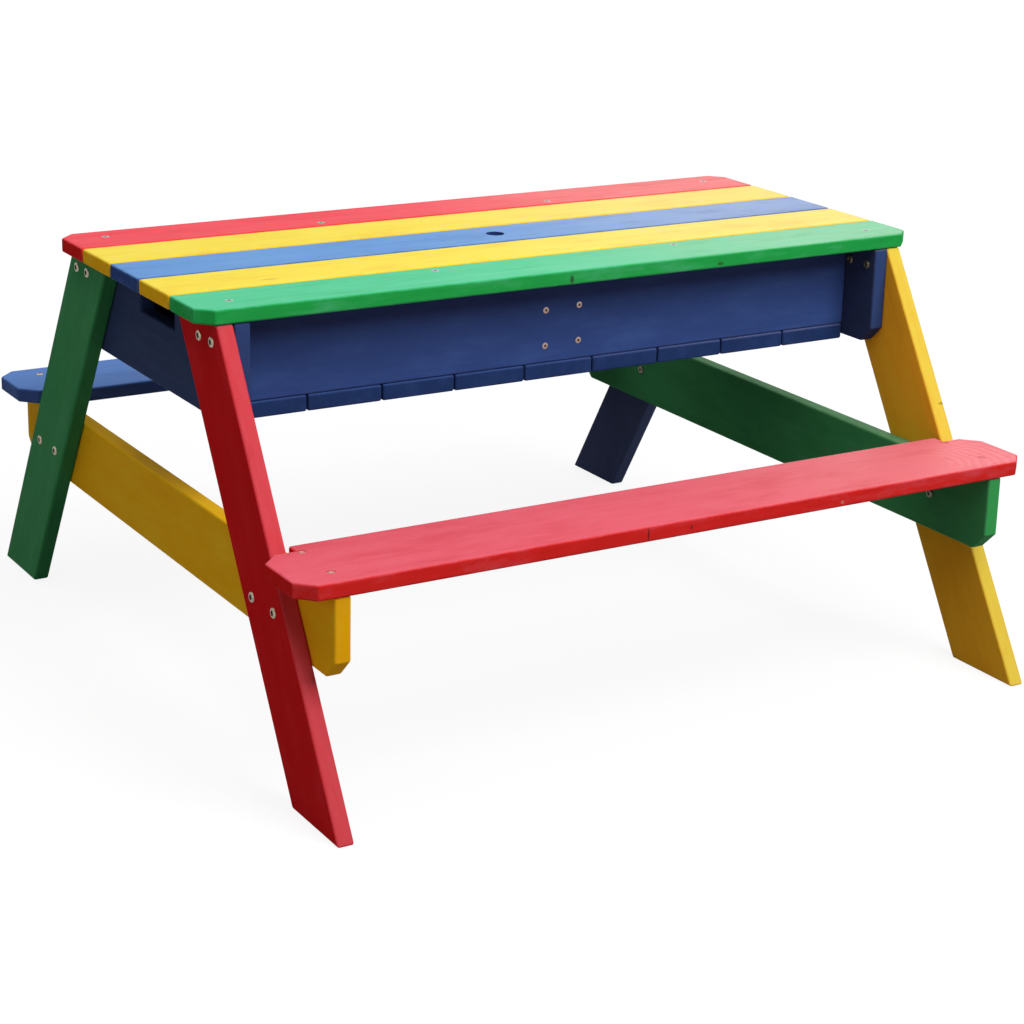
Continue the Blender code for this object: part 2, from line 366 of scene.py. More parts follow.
# %% Find the edges of a board
rub_width = 0.0032
rubbed, start, end = new_group(
    "rubbed_edges", {"Board": VECTOR, "Half sizes": VECTOR}, ("Wear",)
)
board = start.outputs["Board"]
inner = vector(rubbed, "SUBTRACT", start.outputs["Half sizes"], (rub_width,) * 3)
past_inner = vector(rubbed, "SUBTRACT", vector(rubbed, "ABSOLUTE", board), inner)
share = vector(rubbed, "MULTIPLY", past_inner, (1 / rub_width,) * 3)
positive = vector(rubbed, "MAXIMUM", share, (0, 0, 0))
near = add_node(rubbed, "ShaderNodeSeparateXYZ", {0: positive}).outputs
wear = 0
for one, other in ((0, 1), (1, 2), (2, 0)):
    pair = maths(rubbed, "MULTIPLY", near[one], near[other], clamp=True)
    wear = maths(rubbed, "ADD", wear, pair, clamp=True)
patches = ranged(rubbed, noise(rubbed, board, detail=3, scale=55).outputs[0], 0.42, 0.62)
wear = maths(rubbed, "MULTIPLY", wear, patches, clamp=True)
rubbed.links.new(wear, end.inputs["Wear"])
print("the wear's nodes:", len(rubbed.nodes))

# %% [markdown]
# ## Mixing colours
# A stain is built up in layers: each one turns the colour so far toward another by a
# share that a pattern gives. The plain Mix node takes a share only, so a fixed strength
# is multiplied in first.

# %% Mix two colours
def mixed(tree, share, first, second, strength=1.0):
    """The first colour, turned toward the second. Each is three numbers or an output."""
    held = maths(tree, "MULTIPLY", share, strength, clamp=True)
    first, second = (
        (*colour, 1) if isinstance(colour, tuple) else colour for colour in (first, second)
    )
    values = {0: held, 6: first, 7: second}
    return add_node(tree, "ShaderNodeMix", values, data_type="RGBA", clamp_factor=True).outputs[2]


print("colours can be mixed")

# %% [markdown]
# ## A side shoot
# Where a side shoot grew, the rings curl round it, as near one end of the front bench.
# The lines could be drawn by hand, but the same rings do it: the group is looked up
# once more, with its heart along the shoot, and shown only within some reach.

# %% Turn rings round a shoot
SHOOT_WOBBLE = (0.016, 0.016, 0)


def add_swirl(tree, place, rings, foot, lean, width, shown, reach):
    """The rings with those of the shoot let in, and the shoot's lines alone."""
    crooked = wobbled(tree, place, noise(tree, place, detail=3, scale=46), SHOOT_WOBBLE)
    along_shoot = add_node(
        tree,
        "ShaderNodeMapping",
        {"Vector": crooked, "Location": foot, "Rotation": (0, math.radians(lean), 0)},
        vector_type="TEXTURE",
    )
    values = {"Heart": along_shoot.outputs[0], "Ring width": width}
    curled = add_node(tree, "ShaderNodeGroup", values, node_tree=figure).outputs["Rings"]
    away = vector(tree, "DISTANCE", place, shown, result="Value")
    near = ranged(tree, away, reach, reach * 0.4, kind="SMOOTHSTEP")
    both = add_node(tree, "ShaderNodeMix", {0: near, 2: rings, 3: curled}, data_type="FLOAT")
    return both.outputs[0], maths(tree, "MULTIPLY", near, curled)


print("a shoot can be added")

# %% [markdown]
# ## Knots, flecks and cracks
# A few dark spots have a known place: small knots, a fleck of resin, cracks in an edge.
# Each is an ellipsoid in the table's own space that is filled with one colour, which is
# simpler than painting and stays sharp from close by.

# %% Add marks to a tone
MARK_SHARE = 0.85


def with_marks(tree, place, tone, marks):
    """A mark is its middle, its half sizes and its colour. Its rim is a little soft."""
    for middle, half_size, colour in marks:
        offset = vector(tree, "SUBTRACT", place, middle)
        scaled = vector(tree, "DIVIDE", offset, half_size)
        distance = vector(tree, "LENGTH", scaled, result="Value")
        within = ranged(tree, distance, 1.15, 0.75)
        tone = mixed(tree, within, tone, colour, MARK_SHARE)
    return tone


print("marks can be added")

# %% [markdown]
# ## Satin coat
# The coat lies over the finished tone. Rings and fibres stand out a little as a bump,
# the fibres also make it slightly uneven in gloss, and only the faces that look up keep
# some sheen. A separate coat layer would do this as well, but one shader with a low
# mirror share looks the same on dull stain.

# %% Coat a board
def satin_coat(tree, tone, rings, fibres, upward, specular):
    height = maths(tree, "MULTIPLY_ADD", fibres, 0.6, rings)
    bump_values = {"Strength": 0.22, "Distance": 0.0004, "Height": height}
    shader = add_node(tree, "ShaderNodeBsdfPrincipled", {
        "Base Color": tone,
        "Roughness": ranged(tree, fibres, to_low=0.4, to_high=0.54),
        "Specular IOR Level": ranged(tree, upward, to_low=0.004, to_high=specular),
        "Normal": add_node(tree, "ShaderNodeBump", bump_values).outputs[0],
    })
    add_node(tree, "ShaderNodeOutputMaterial", {0: shader.outputs[0]})


print("boards can be coated")

# %% [markdown]
# ## A board's own part of the log
# The coordinates are turned so that X runs along the board and Z through it. From
# there, a drawn shift and a slight lean lead to the heart of the tree, so no two boards
# match. One material with a random number per object would be shorter, but then a board
# couldn't have its own grain direction.

# %% Look up a board's figure
heart_draw = random.Random(11)
RING_WIDTH = 0.0045


def look_up(tree, node, place, turn, half):
    """The outputs of the figure and of the wear, and the place within the board."""
    low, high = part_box(node)
    middle = turn @ ((low + high) / 2)
    values = {"Vector": place, "Location": -middle, "Rotation": turn.to_euler()}
    in_board = add_node(tree, "ShaderNodeMapping", values).outputs[0]
    side_shift = heart_draw.uniform(-0.04, 0.04)
    depth = heart_draw.choice((-1, 1)) * heart_draw.uniform(0.02, 0.05)
    lean = [math.radians(heart_draw.uniform(-most, most)) for most in (1.2, 1.5)]
    own_noise = (heart_draw.uniform(2, 9),) * 3
    values = {"Vector": in_board, "Location": (0, -side_shift, -depth), "Rotation": (0, *lean)}
    round_heart = add_node(tree, "ShaderNodeMapping", values).outputs[0]
    values = {
        "Board": vector(tree, "ADD", in_board, own_noise),
        "Heart": round_heart,
        "Ring width": RING_WIDTH,
    }
    drawn = add_node(tree, "ShaderNodeGroup", values, node_tree=figure).outputs
    half = half or [abs(side) for side in turn @ ((high - low) / 2)]
    values = {"Board": in_board, "Half sizes": half}
    wear = add_node(tree, "ShaderNodeGroup", values, node_tree=rubbed).outputs["Wear"]
    return drawn, wear, in_board


print("each board has a part of the log")

# %% [markdown]
# ## Painted sheen on faces that look up
# Faces that look up are given a paler tone, which paints the sheen that the light from
# above leaves on them, and the tops are paler still toward the table's right end, a
# painted reflection. Each face could be given a colour of its own, but a tone that
# follows the slope runs softly over the rounded edges. How flat a face has to be before
# it takes the painted sheen is set for each board.

# %% Paint sheen on the faces that look up
# painted reflection: the tops turn toward this pale tone toward the table's right end
RIGHT_END_SHEEN = (0.86, 0.67, 0.57)
SHEEN_FROM = -0.12
SHEEN_TO = 0.4


def paint_top_sheen(tree, coords, edge_tone, top_sheen_tone, right_end_sheen_share, sheen_range):
    """How far a face looks up, and its tone with the painted sheen."""
    rise = vector(tree, "DOT_PRODUCT", coords["Normal"], (0, 0, 1), result="Value")
    upward = ranged(tree, rise, *sheen_range)
    along_table = add_node(tree, "ShaderNodeSeparateXYZ", {0: coords["Object"]}).outputs[0]
    right_end = ranged(tree, along_table, SHEEN_FROM, SHEEN_TO, kind="SMOOTHSTEP")
    # the painted sheen, paler still toward the right end as a painted reflection
    sheened_tone = mixed(tree, right_end, top_sheen_tone, RIGHT_END_SHEEN, right_end_sheen_share)
    return upward, mixed(tree, upward, edge_tone, sheened_tone)


print("the tops fade between", SHEEN_FROM, "and", SHEEN_TO, "m along the table")

# %% [markdown]
# ## Sawn ends
# The open pores of a sawn end drink up stain, so it is a little deeper than the faces
# along the board. On some boards the ends get a tone of their own, which paints light
# and shade: the red plank and the red bench have a darker red on their ends, painted
# shade for their shaded left ends, and the end boards and the right beam have a paler
# tone on their ends, painted light for their lit front ends. They are told from the
# other faces by their direction, which needs no list of faces.

# %% Tone the sawn ends
END_SHARE = 0.9
SOAKED_SHARE = 0.12


def with_sawn_ends(tree, coords, length_way, tone, deep, painted_end_tone):
    to_end = vector(tree, "DOT_PRODUCT", coords["Normal"], tuple(length_way), result="Value")
    sawn_end = ranged(tree, maths(tree, "ABSOLUTE", to_end), 0.8, 0.97)
    # a given end tone paints light and shade on the ends
    if painted_end_tone:
        return mixed(tree, sawn_end, tone, painted_end_tone, END_SHARE)
    return mixed(tree, sawn_end, tone, deep, SOAKED_SHARE)


print("ends can be toned")

# %% [markdown]
# ## Stained wood
# The stain is thin, so the wood shows through: late wood and pores take more colour and
# worn edges less, and clouds of thin and thick stain lie over it all. Each layer could
# be its own material, but one graph keeps them in step.

# %% Stain one board
SWIRL_LINE = (0.92, 0.33, 0.34)
SWIRL_SHARE = 0.34
WORN_SHARE = 0.45
THICK_TO_THIN = 0.7


def stain_board(node, stain, along, wide, ring_share=0.06, fibre_share=0.04, blotch_share=0.36,
                half=None, marks=(), specular=0.01, swirls=(), painted_end_tone=None, right_end_sheen_share=0.1,
                sheen_range=(0.1, 0.6)):
    edge_tone, deep, pale, top_sheen_tone = stain
    length_way = Vector(along).normalized()
    width_way = Vector(wide).normalized()
    turn = Matrix((length_way, width_way, length_way.cross(width_way)))
    material = bpy.data.materials.new("stain_" + node)
    tree = new_tree(material)
    coords = add_node(tree, "ShaderNodeTexCoord").outputs
    drawn, wear, in_board = look_up(tree, node, coords["Object"], turn, half)
    rings = drawn["Rings"]
    fibres = ranged(tree, drawn["Fibres"], 0.38, 0.68)
    swirl_lines = []
    for swirl in swirls:
        rings, lines = add_swirl(tree, in_board, rings, *swirl)
        swirl_lines.append(lines)

    # the fourth colour of a stain is painted sheen on the faces that look up
    upward, tone = paint_top_sheen(tree, coords, edge_tone, top_sheen_tone, right_end_sheen_share, sheen_range)
    thin_stain = ranged(tree, drawn["Blotches"], 0.5, 0.7)
    thick_stain = ranged(tree, drawn["Blotches"], 0.5, 0.3)
    tone = mixed(tree, thin_stain, tone, pale, blotch_share)
    tone = mixed(tree, thick_stain, tone, deep, blotch_share * THICK_TO_THIN)
    tone = mixed(tree, rings, tone, deep, ring_share)
    tone = mixed(tree, fibres, tone, deep, fibre_share)
    for lines in swirl_lines:
        on_top = maths(tree, "MULTIPLY", lines, upward)
        tone = mixed(tree, on_top, tone, SWIRL_LINE, SWIRL_SHARE)
    tone = mixed(tree, wear, tone, pale, WORN_SHARE)
    tone = with_sawn_ends(tree, coords, length_way, tone, deep, painted_end_tone)
    tone = with_marks(tree, coords["Object"], tone, marks)
    satin_coat(tree, tone, rings, fibres, upward, specular)
    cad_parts[node].data.materials.clear()
    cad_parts[node].data.materials.append(material)


print("boards can be stained")

# %% [markdown]
# ## The tabletop
# Five planks lie side by side along the table: red, yellow, blue, yellow, green. The
# middle three are the lid. Their grain runs along X and their width along Y. A stain is
# four colours: the edges, the deep tone of late wood, the thin tone of worn wood, and
# the paler tone of faces that look up, which paints their sheen. The planks take this
# painted sheen only where they are nearly flat, so that their rounded edges stay deep.

# %% Stain the tabletop
ALONG_X = (1, 0, 0)
ALONG_Y = (0, 1, 0)
UPRIGHT = (0, 0, 1)
FLAT_TOP = (0.5, 0.97)
RED = ((0.82, 0.013, 0.012), (0.52, 0.006, 0.006), (0.84, 0.11, 0.14), (0.82, 0.058, 0.082))
YELLOW = ((0.94, 0.5, 0.007), (0.75, 0.3, 0.004), (0.88, 0.74, 0.12), (0.87, 0.69, 0.055))
BLUE = ((0.026, 0.062, 0.23), (0.018, 0.04, 0.17), (0.17, 0.35, 0.68), (0.115, 0.285, 0.61))
GREEN = ((0.02, 0.4, 0.075), (0.01, 0.27, 0.05), (0.12, 0.57, 0.32), (0.07, 0.53, 0.265))
# a darker red for the sawn ends of the red boards: painted shade
SHADED_RED_END = (0.64, 0.007, 0.007)
resin_fleck = ((-0.3675, -0.1096, 0.521), (0.011, 0.0022, 0.004), (0.62, 0.4, 0.05))
left_knot = ((-0.0217, -0.2191, 0.51), (0.003, 0.005, 0.005), (0.03, 0.09, 0.03))
right_knot = ((0.1958, -0.2191, 0.5086), (0.005, 0.005, 0.002), (0.03, 0.12, 0.03))
planks = (
    ("top_plank_rear_red", RED, SHADED_RED_END, ()),
    ("lid_plank_rear_yellow", YELLOW, None, ()),
    ("lid_plank_centre_blue", BLUE, None, ()),
    ("lid_plank_front_yellow", YELLOW, None, (resin_fleck,)),
    ("top_plank_front_green", GREEN, None, (left_knot, right_knot)),
)
for plank, stain, painted_end_tone, marks in planks:
    stain_board(plank, stain, ALONG_X, ALONG_Y, ring_share=0.04, fibre_share=0.03, marks=marks,
                specular=0.05, painted_end_tone=painted_end_tone, right_end_sheen_share=0.2, sheen_range=FLAT_TOP)
print("stained planks:", len(planks))

# %% [markdown]
# ## The sand box
# The box is a deep blue. Its sides run along the table, its end boards, dividers and
# floor slats across it. The yellow battens under the lid run across too. The end boards
# and the floor slats have darker copies of the blue, which paint shade: the end boards'
# left faces lie in shade under the top, and the slats are as dark as the shaded side
# panel above them. The end boards' front ends get a paler blue, which paints light, and
# the end boards have dark hand notches.

# %% Stain the box
NAVY = ((0.045, 0.092, 0.3), (0.03, 0.062, 0.2), (0.07, 0.145, 0.41), (0.08, 0.15, 0.42))
# a darker, greyer blue for the end boards: painted shade on their left faces
SHADED_END_NAVY = ((0.037, 0.057, 0.138), (0.017, 0.03, 0.085), (0.034, 0.066, 0.17), (0.02, 0.035, 0.09))
# a darker blue for the floor slats: painted shade
SHADED_SLAT_NAVY = ((0.022, 0.053, 0.172), (0.016, 0.03, 0.11), (0.045, 0.09, 0.28), (0.05, 0.1, 0.3))
# a paler blue for the end boards' lit front ends: painted light
LIT_NAVY_END = (0.037, 0.073, 0.215)
slat_count = 9
batten_count = 4
for side in ("side_panel_front", "side_panel_rear"):
    stain_board(side, NAVY, ALONG_X, UPRIGHT, ring_share=0.035, fibre_share=0.03, blotch_share=0.42)
for board in ("divider_left", "divider_right"):
    stain_board(board, NAVY, ALONG_Y, UPRIGHT)
for board in ("end_board_left", "end_board_right"):
    stain_board(board, SHADED_END_NAVY, ALONG_Y, UPRIGHT, painted_end_tone=LIT_NAVY_END)
for number in range(1, slat_count + 1):
    stain_board(f"floor_slat_{number}", SHADED_SLAT_NAVY, ALONG_Y, ALONG_X)
for number in range(1, batten_count + 1):
    stain_board(f"lid_batten_{number}", YELLOW, ALONG_Y, ALONG_X)
print("the box is stained, with", slat_count, "slats and", batten_count, "battens")

# %% [markdown]
# ## Legs
# Each leg has its own colour. Its grain runs along its slope, so its board directions
# are turned by the same slope. A leg's box is no guide to the sizes of a sloping board,
# so they are given: the half length is longer than the leg, which leaves its sawn ends
# without wear.

# %% Stain the legs
LEG_RED = ((0.67, 0.007, 0.009), (0.5, 0.005, 0.007), (0.74, 0.03, 0.036), (0.73, 0.09, 0.112))
LEG_YELLOW = ((1, 0.49, 0.026), (0.75, 0.27, 0.01), (0.9, 0.6, 0.05), (0.82, 0.66, 0.03))
LEG_GREEN = ((0.048, 0.27, 0.092), (0.02, 0.15, 0.045), (0.07, 0.36, 0.14), (0.05, 0.35, 0.12))
LEG_BLUE = ((0.078, 0.1, 0.21), (0.026, 0.036, 0.11), (0.075, 0.12, 0.28), (0.06, 0.11, 0.3))
leg_slope = 0.594
leg_half_length = 1
leg_half_width = 0.048
edge_fleck = ((0.4802, -0.3255, 0.32), (0.006, 0.004, 0.0018), (0.45, 0.3, 0.03))
legs = (
    ("leg_front_left_red", LEG_RED, ()),
    ("leg_rear_left_green", LEG_GREEN, ()),
    ("leg_front_right_yellow", LEG_YELLOW, (edge_fleck,)),
    ("leg_rear_right_blue", LEG_BLUE, ()),
)
for leg, stain, marks in legs:
    low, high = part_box(leg)
    slope = leg_slope if high.y < 0 else -leg_slope
    half = (leg_half_length, leg_half_width, (high.x - low.x) / 2)
    stain_board(leg, stain, (0, slope, 1), (0, 1, -slope), half=half, marks=marks)
print("stained legs:", len(legs))

# %% [markdown]
# ## Beams and benches
# The beams run across the table and the benches along it. The red bench has cracks and
# a knot in its front edge, and a side shoot near its right end.

# %% Stain beams and benches
BEAM_YELLOW = ((0.97, 0.49, 0.01), (0.88, 0.34, 0.005), (0.98, 0.66, 0.03), (1, 0.52, 0.01))
BEAM_GREEN = ((0.055, 0.295, 0.1), (0.025, 0.2, 0.05), (0.08, 0.4, 0.15), (0.05, 0.3, 0.1))
BENCH_RED = ((0.77, 0.024, 0.021), (0.52, 0.006, 0.006), (0.8, 0.16, 0.21), (0.77, 0.115, 0.155))
BENCH_BLUE = ((0.058, 0.1, 0.3), (0.018, 0.04, 0.17), (0.12, 0.27, 0.62), (0.11, 0.25, 0.64))
# a paler green for the ends of the right beam, whose front end is lit: painted light
LIT_GREEN_END = (0.05, 0.39, 0.1)
edge_marks = (
    ((-0.0679, -0.4684, 0.2724), (0.0013, 0.004, 0.0075), (0.13, 0.018, 0.016)),
    ((-0.0088, -0.4684, 0.2719), (0.0016, 0.004, 0.003), (0.16, 0.03, 0.02)),
    ((0.2097, -0.4684, 0.2691), (0.0025, 0.003, 0.0022), (0.55, 0.22, 0.16)),
)
shoot_foot = (0.385, -0.02, 0.009)
shoot_shown = (0.455, -0.02, 0.009)
shoot_lean = 72
shoot_ring_width = 0.0115
shoot_reach = 0.08
shoot = (shoot_foot, shoot_lean, shoot_ring_width, shoot_shown, shoot_reach)
stain_board("beam_left_yellow", BEAM_YELLOW, ALONG_Y, UPRIGHT)
stain_board("beam_right_green", BEAM_GREEN, ALONG_Y, UPRIGHT, painted_end_tone=LIT_GREEN_END)
stain_board("bench_front_red", BENCH_RED, ALONG_X, ALONG_Y, ring_share=0.05, fibre_share=0.03,
            marks=edge_marks, specular=0.05, swirls=(shoot,), painted_end_tone=SHADED_RED_END, right_end_sheen_share=0.11,
            sheen_range=FLAT_TOP)
stain_board("bench_rear_blue", BENCH_BLUE, ALONG_X, ALONG_Y, fibre_share=0.05, specular=0.03,
            sheen_range=FLAT_TOP)
print("two beams and two benches are stained")

# %% [markdown]
# ## Metal
# The fasteners are plated steel. Clean plating is a real metal: its colour goes to the
# shader with full metalness, which mirrors the room in that colour. Grey paint would
# look flat instead. Worn or stained heads and two of the dark drive colours mirror less,
# so they are only partly metal. A fine noise makes dull spots and varies how sharply the
# surface mirrors.

# %% Make the metal finishes
def metal(name, colour, dull, roughness, metallic=1.0):
    material = bpy.data.materials.new(name)
    tree = new_tree(material)
    coords = add_node(tree, "ShaderNodeTexCoord").outputs
    grime = noise(tree, coords["Object"], detail=4, scale=420).outputs[0]
    spots = ranged(tree, grime, 0.35, 0.7)
    bump_values = {"Strength": 0.15, "Distance": 0.0001, "Height": spots}
    shader = add_node(tree, "ShaderNodeBsdfPrincipled", {
        "Metallic": metallic,
        "Base Color": mixed(tree, spots, colour, dull, 0.6),
        "Roughness": ranged(tree, spots, to_low=roughness[0], to_high=roughness[1]),
        "Normal": add_node(tree, "ShaderNodeBump", bump_values).outputs[0],
    })
    add_node(tree, "ShaderNodeOutputMaterial", {0: shader.outputs[0]})
    return material


plated = metal("brass_plating", (0.62, 0.5, 0.38), (0.4, 0.3, 0.2), (0.42, 0.6))
pale_brass = metal("pale_brass", (0.42, 0.34, 0.29), (0.27, 0.2, 0.17), (0.4, 0.6))
nickel = metal("nickel_plating", (0.36, 0.3, 0.23), (0.18, 0.145, 0.1), (0.3, 0.5))
bright_zinc = metal("bright_zinc", (0.42, 0.44, 0.42), (0.2, 0.22, 0.2), (0.35, 0.6))
# a darker zinc for the nuts on the legs' inner sides: painted shade
shaded_nut_zinc = metal("shaded_nut_zinc", (0.14, 0.13, 0.1), (0.06, 0.06, 0.045), (0.45, 0.65))
worn_rim = metal("worn_rim", (0.54, 0.21, 0.19), (0.36, 0.12, 0.11), (0.5, 0.7), 0.2)
worn_cross = metal("worn_cross", (0.85, 0.5, 0.48), (0.7, 0.4, 0.36), (0.6, 0.75), 0.2)
stained_rim = metal("stained_rim", (0.74, 0.17, 0.2), (0.62, 0.11, 0.13), (0.5, 0.7), 0.1)
# darker colours for the bottoms and walls of the drives
dark_recess = metal("dark_recess", (0.05, 0.045, 0.04), (0.02, 0.02, 0.02), (0.5, 0.7))
dark_red_recess = metal("dark_red_recess", (0.09, 0.035, 0.03), (0.04, 0.02, 0.02), (0.5, 0.7), 0.4)
dark_socket = metal("dark_socket", (0.15, 0.125, 0.09), (0.035, 0.03, 0.022), (0.5, 0.7), 0.6)
print("the last finish is", dark_socket.name)

# %% [markdown]
# ## Turn a fastener
# A screw or a bolt is a turned shape. It could be put together from cylinders and
# cones, but one outline, from the rim of the drive out over the head and down to the
# tip, gives the whole form in a single full spin. That leaves one hole, in the middle
# of the head, for the drive.

# %% Spin an outline
def turned_shape(outline, steps):
    """The outline is a list of (radius, height) from the drive's rim to the tip."""
    shape = bmesh.new()
    points = [shape.verts.new((radius, 0, height)) for radius, height in outline]
    line = [shape.edges.new(pair) for pair in zip(points, points[1:])]
    bmesh.ops.spin(shape, geom=points + line, cent=(0, 0, 0), axis=UPRIGHT, angle=math.tau,
                   steps=steps, use_merge=True)
    bmesh.ops.remove_doubles(shape, verts=shape.verts, dist=1e-6)
    return shape


print("fasteners can be turned")

# %% [markdown]
# ## The bottom of a drive
# The drive of a bolt is six-sided and that of a screw is a cross. The six-sided bottom
# is a circle with six segments. The cross starts as a small square with an arm pulled
# out of each side, which gives even arms without typing any corner.

# %% Lay the bottom of a drive
def once(items):
    """Each item once, in the order in which it first comes."""
    return list(dict.fromkeys(items))


def hexagon_bottom(shape, reach, place):
    return bmesh.ops.create_circle(
        shape, cap_ends=True, segments=6, radius=reach, matrix=place)["verts"]


def cross_bottom(shape, reach, place):
    arm_half_width = reach * 0.28
    made = bmesh.ops.create_grid(
        shape, x_segments=1, y_segments=1, size=arm_half_width, matrix=place)["verts"]
    for side in once(edge for vert in made for edge in vert.link_edges):
        outward = (side.verts[0].co + side.verts[1].co) / 2 - place.to_translation()
        arm = bmesh.ops.extrude_edge_only(shape, edges=[side])["geom"]
        ends = [item for item in arm if isinstance(item, bmesh.types.BMVert)]
        step = outward.normalized() * (reach - arm_half_width)
        bmesh.ops.translate(shape, verts=ends, vec=step)
        made = made + ends
    return made


print("drives have a bottom")

# %% [markdown]
# ## Sink the drive
# The bottom lies a little below the top of the head. Its walls are pulled up to the
# top, and the flat ring between them and the rim is filled in. Painting the drive on
# would be quicker, but a real recess catches the light by itself at any angle. Bottom
# and walls get the second material, which in most drives is darker than the head.

# %% Sink a drive into a head
def sink_drive(shape, lay_bottom, reach, depth):
    top = max(vert.co.z for vert in shape.verts)
    made = lay_bottom(shape, reach, Matrix.Translation((0, 0, top - depth)))
    bottom_faces = once(face for vert in made for face in vert.link_faces)
    raised = bmesh.ops.extrude_face_region(shape, geom=bottom_faces)["geom"]
    raised_points = [item for item in raised if isinstance(item, bmesh.types.BMVert)]
    raised_faces = [item for item in raised if isinstance(item, bmesh.types.BMFace)]
    bmesh.ops.translate(shape, verts=raised_points, vec=(0, 0, depth))
    bmesh.ops.delete(shape, geom=raised_faces, context="FACES")
    for face in once(face for vert in made for face in vert.link_faces):
        face.material_index = 1
    ring = [edge for edge in shape.edges if edge.is_boundary]
    bmesh.ops.triangle_fill(shape, use_beauty=True, edges=ring, normal=UPRIGHT)
    bmesh.ops.recalc_face_normals(shape, faces=shape.faces)
    unit = bpy.data.meshes.new("unit")
    shape.to_mesh(unit)
    shape.free()
    return unit


print("drives can be sunk")

# %% [markdown]
# ## Set copies in place
# Screws of one kind are copies of one turned unit, gathered in a single mesh with the
# places in it. Linked objects would be lighter, but a piece has to ride on its body as
# one object that stays at the origin.

# %% Copy a unit to its places
def keep_piece(name, unit, places, finishes, body):
    """Sets the unit at every (point, direction) and lets the piece ride on the body."""
    gathered = bmesh.new()
    for point, direction in places:
        first = len(gathered.verts)
        gathered.from_mesh(unit)
        gathered.verts.ensure_lookup_table()
        turn = Vector(UPRIGHT).rotation_difference(Vector(direction)).to_matrix().to_4x4()
        placed = Matrix.Translation(Vector(point)) @ turn
        bmesh.ops.transform(gathered, matrix=placed, verts=gathered.verts[first:])
    mesh = bpy.data.meshes.new(name)
    gathered.to_mesh(mesh)
    gathered.free()
    for finish in finishes:
        mesh.materials.append(finish)
    mesh.shade_smooth()
    mesh.set_sharp_from_angle(angle=math.radians(32))
    thing = bpy.data.objects.new(name, mesh)
    bpy.context.scene.collection.objects.link(thing)
    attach(thing, body)
    return thing


print("copies can be set")

# %% [markdown]
# ## Leg bolts
# Sixteen furniture bolts hold the legs. Each has a low domed head with a six-sided
# socket on the leg's outer face, and a round nut with a sunk middle on the inner side,
# in a darker metal that paints the shade there. The frame has a plain one in each
# place, so its box gives the place and length, and the finer bolt stands in for it.

# %% Turn the leg bolts
bolt_nodes = sorted(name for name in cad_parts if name.startswith("leg_bolt"))
head_height = 0.0018
socket_reach = 0.0037
socket_depth = 0.0016
shank_radius = 0.003
nut_height = 0.003
nut_radius = 0.0055
nut_recess = 0.0012
for node in bolt_nodes:
    low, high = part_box(node)
    side = 1 if low.x > 0 else -1
    head_radius = (high.y - low.y) / 2
    nut_top = head_height + nut_height - (high.x - low.x)
    nut_end = nut_top - nut_height
    nut_middle = nut_top - nut_recess
    outline = [
        (0.0041, head_height), (0.0051, head_height - 0.0002),
        (head_radius - 0.0003, head_height - 0.0008), (head_radius, 0.0002),
        (head_radius - 0.0001, 0), (shank_radius, 0), (shank_radius, nut_top),
        (nut_radius, nut_top), (nut_radius, nut_top - 0.0018), (0.0046, nut_end),
        (0.0028, nut_end), (0.0022, nut_middle), (0, nut_middle),
    ]
    turned = turned_shape(outline, steps=24)
    unit = sink_drive(turned, hexagon_bottom, socket_reach, socket_depth)
    # the nut's faces take the darker zinc: painted shade
    for face in unit.polygons:
        if face.center.z < nut_top:
            face.material_index = 2
    outer = max(abs(low.x), abs(high.x)) - head_height
    place = (side * outer, (low.y + high.y) / 2, (low.z + high.z) / 2)
    bolt = keep_piece(node.replace("leg_bolt", "socket_bolt"), unit, [(place, (side, 0, 0))],
                      (nickel, dark_socket, shaded_nut_zinc), "table")
    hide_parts(node)
print("turned bolts:", len(bolt_nodes))

# %% [markdown]
# ## Bench screws
# Two countersunk screws at each bench end go down into the beam, with slightly domed
# heads and a shallow cross. On the blue bench they are plainly plated. On the red one
# the left pair is worn and its cross still bright, and the right pair was stained over
# with the bench.

# %% Turn the bench screws
screw_nodes = sorted(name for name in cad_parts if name.startswith("bench_screw"))
point_length = 0.004
cross_reach = 0.0024
cross_depth = 0.0003
for node in screw_nodes:
    low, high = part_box(node)
    tip = low.z - high.z
    outline = [(0.0027, 0.0004), (0.0039, 0.0002), (0.0047, -0.0001), (0.005, -0.0004),
               (0.005, -0.0006), (0.002, -0.003), (0.002, tip + point_length), (0, tip)]
    turned = turned_shape(outline, steps=20)
    unit = sink_drive(turned, cross_bottom, cross_reach, cross_depth)
    place = ((low.x + high.x) / 2, (low.y + high.y) / 2, high.z)
    if place[1] > 0:
        finishes = (plated, dark_recess)
    elif place[0] < 0:
        finishes = (worn_rim, worn_cross)
    else:
        finishes = (stained_rim, worn_rim)
    screw = keep_piece(node.replace("bench_screw", "cross_screw"), unit, [(place, UPRIGHT)],
                       finishes, "table")
    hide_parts(node)
print("turned screws:", len(screw_nodes))

# %% [markdown]
# ## Small screws
# Smaller screws hold the fixed planks, the dividers, the floor slats and the lid's
# battens. The solids leave them out, because they are many and small. Three units are
# enough: a wide one with a cross for the planks, a small one with a cross for what is
# underneath, and a small one with a six-sided socket for the side panels. Their heads
# stand a quarter of a millimetre proud, so that they show above the boards.

# %% Turn the small screws
wide_outline = [(0.003, 0.00025), (0.0046, 0.0002), (0.005, 0.0001), (0.005, -0.0003),
                (0.002, -0.003), (0.002, -0.032), (0, -0.036)]
small_outline = [(0.0029, 0.00025), (0.0036, 0.00022), (0.004, 0.0001), (0.004, -0.0003),
                 (0.0016, -0.0024), (0.0016, -0.026), (0, -0.029)]
wide_cross_reach = 0.0026
small_cross_reach = 0.0025
small_socket_reach = 0.0019
small_depth = 0.0002


